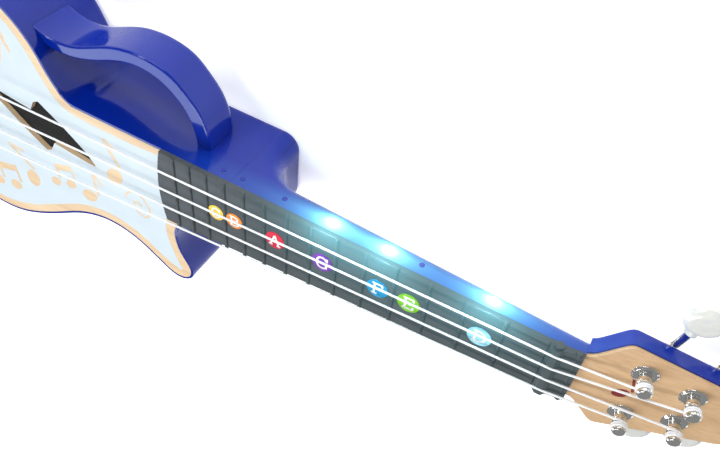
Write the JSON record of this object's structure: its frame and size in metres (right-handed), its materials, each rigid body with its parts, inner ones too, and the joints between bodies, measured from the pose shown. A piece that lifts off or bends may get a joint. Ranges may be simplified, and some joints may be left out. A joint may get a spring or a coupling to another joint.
{
  "type": "toy electric guitar",
  "caption": "Small toy guitar with a blue hollow body, open bass horn, printed wooden top, lit note dots, nylon strings and geared tuners.",
  "frame": {"origin": "under the middle of the bounding box, on the plane the back rests on", "axes": "+X towards the headstock, +Y towards the bass side, +Z out of the soundboard"},
  "size_m": [0.5584, 0.19, 0.0653],
  "materials": {
    "blue_plastic": "high gloss, moulded and lacquered",
    "head_wood": "fine straight grain, satin lacquer",
    "printed_wood": "pale plywood with a light grey-blue print, satin",
    "board_plastic": "dark slate, satin",
    "black_cloth": "black acoustic cloth",
    "led_lens": "clear white light lens",
    "circuit_board": "green solder mask",
    "dark_plastic": "dark satin plastic",
    "ivory_plastic": "ivory, polished",
    "chrome": "polished plate",
    "button_yellow": "gloss",
    "button_red": "gloss",
    "button_white": "gloss",
    "pressed_steel": "zinc plated",
    "cone_paper": "pressed paper",
    "magnet": "ferrite and plated cup",
    "black_plastic": "moulded",
    "cell": "plain printed sleeve",
    "wire": "insulated lead",
    "nylon": "white nylon line",
    "gear_brass": "machined",
    "pearl": "pearl white, polished",
    "dot_d": "printed sticker",
    "dot_e": "printed sticker",
    "dot_f": "printed sticker",
    "dot_g": "printed sticker",
    "dot_a": "printed sticker",
    "dot_b": "printed sticker",
    "dot_c": "printed sticker"
  },
  "bodies": {
    "guitar": {"body_shell": "blue_plastic", "neck_shell": "blue_plastic", "horn_loop": "blue_plastic", "headstock": "blue_plastic", "headstock_veneer": "head_wood", "soundboard": "printed_wood", "fretboard": "board_plastic", "nut": "board_plastic", "sound_hole_screen": "black_cloth", "led_lights": "led_lens", "led_board": "circuit_board", "main_board": "circuit_board", "bridge": "dark_plastic", "saddle": "ivory_plastic", "tuner_bases": "chrome", "tuner_bushings": "chrome", "tuner_screws": "chrome", "control_panel": "dark_plastic", "speaker_frame": "pressed_steel", "speaker_cone": "cone_paper", "speaker_magnet": "magnet", "battery_box": "black_plastic", "batteries": "cell", "battery_contacts": "pressed_steel", "body_screws": "pressed_steel", "wires": "wire", "note_dot_d": "dot_d", "note_dot_e": "dot_e", "note_dot_f": "dot_f", "note_dot_g": "dot_g", "note_dot_a": "dot_a", "note_dot_b": "dot_b", "note_dot_c": "dot_c", "string_g": "nylon", "string_c": "nylon", "string_e": "nylon", "string_a": "nylon"},
    "knob_g": {"tuner_knob_g": "pearl", "tuner_worm_g": "chrome"},
    "post_g": {"tuner_post_g": "chrome", "tuner_gear_g": "gear_brass"},
    "knob_c": {"tuner_knob_c": "pearl", "tuner_worm_c": "chrome"},
    "post_c": {"tuner_post_c": "chrome", "tuner_gear_c": "gear_brass"},
    "knob_e": {"tuner_knob_e": "pearl", "tuner_worm_e": "chrome"},
    "post_e": {"tuner_post_e": "chrome", "tuner_gear_e": "gear_brass"},
    "knob_a": {"tuner_knob_a": "pearl", "tuner_worm_a": "chrome"},
    "post_a": {"tuner_post_a": "chrome", "tuner_gear_a": "gear_brass"},
    "door": {"battery_door": "blue_plastic", "battery_door_screw": "pressed_steel"},
    "song_key": {"song_button": "button_yellow"},
    "mode_key": {"mode_button": "button_red"},
    "switch_slider": {"power_switch": "button_white"}
  },
  "joints": [
    {"name": "knob_g_turn", "type": "hinge", "parent": "guitar", "child": "knob_g", "pos_m": [0.229, 0.01467, 0.03139], "axis": [0.2366, 0.9707, -0.0417], "continuous": true},
    {"name": "post_g_turn", "type": "hinge", "parent": "guitar", "child": "post_g", "pos_m": [0.22449, 0.0165, 0.04833], "axis": [0.1736, 0, 0.9848], "continuous": true},
    {"name": "knob_c_turn", "type": "hinge", "parent": "guitar", "child": "knob_c", "pos_m": [0.25204, 0.00897, 0.02733], "axis": [0.2366, 0.9707, -0.0417], "continuous": true},
    {"name": "post_c_turn", "type": "hinge", "parent": "guitar", "child": "post_c", "pos_m": [0.24754, 0.0108, 0.04426], "axis": [0.1736, 0, 0.9848], "continuous": true},
    {"name": "knob_e_turn", "type": "hinge", "parent": "guitar", "child": "knob_e", "pos_m": [0.25204, -0.00897, 0.02733], "axis": [0.2366, -0.9707, -0.0417], "continuous": true},
    {"name": "post_e_turn", "type": "hinge", "parent": "guitar", "child": "post_e", "pos_m": [0.24754, -0.0108, 0.04426], "axis": [0.1736, 0, 0.9848], "continuous": true},
    {"name": "knob_a_turn", "type": "hinge", "parent": "guitar", "child": "knob_a", "pos_m": [0.229, -0.01467, 0.03139], "axis": [0.2366, -0.9707, -0.0417], "continuous": true},
    {"name": "post_a_turn", "type": "hinge", "parent": "guitar", "child": "post_a", "pos_m": [0.22449, -0.0165, 0.04833], "axis": [0.1736, 0, 0.9848], "continuous": true},
    {"name": "door_open", "type": "hinge", "parent": "guitar", "child": "door", "pos_m": [-0.26225, 0, 0.00095], "axis": [0, 1, 0], "range_deg": [0, 100]},
    {"name": "song_press", "type": "slide", "parent": "guitar", "child": "song_key", "axis": [0, 0, -1], "range_m": [0, 0.0014], "stiffness_N_per_m": 300},
    {"name": "mode_press", "type": "slide", "parent": "guitar", "child": "mode_key", "axis": [0, 0, -1], "range_m": [0, 0.0014], "stiffness_N_per_m": 300},
    {"name": "power_slide", "type": "slide", "parent": "guitar", "child": "switch_slider", "axis": [1, 0, 0], "range_m": [0, 0.004]}
  ],
  "couplings": [
    {"joint": "post_g_turn", "follows": "knob_g_turn", "ratio": 0.071429},
    {"joint": "post_c_turn", "follows": "knob_c_turn", "ratio": 0.071429},
    {"joint": "post_e_turn", "follows": "knob_e_turn", "ratio": -0.071429},
    {"joint": "post_a_turn", "follows": "knob_a_turn", "ratio": -0.071429}
  ]
}
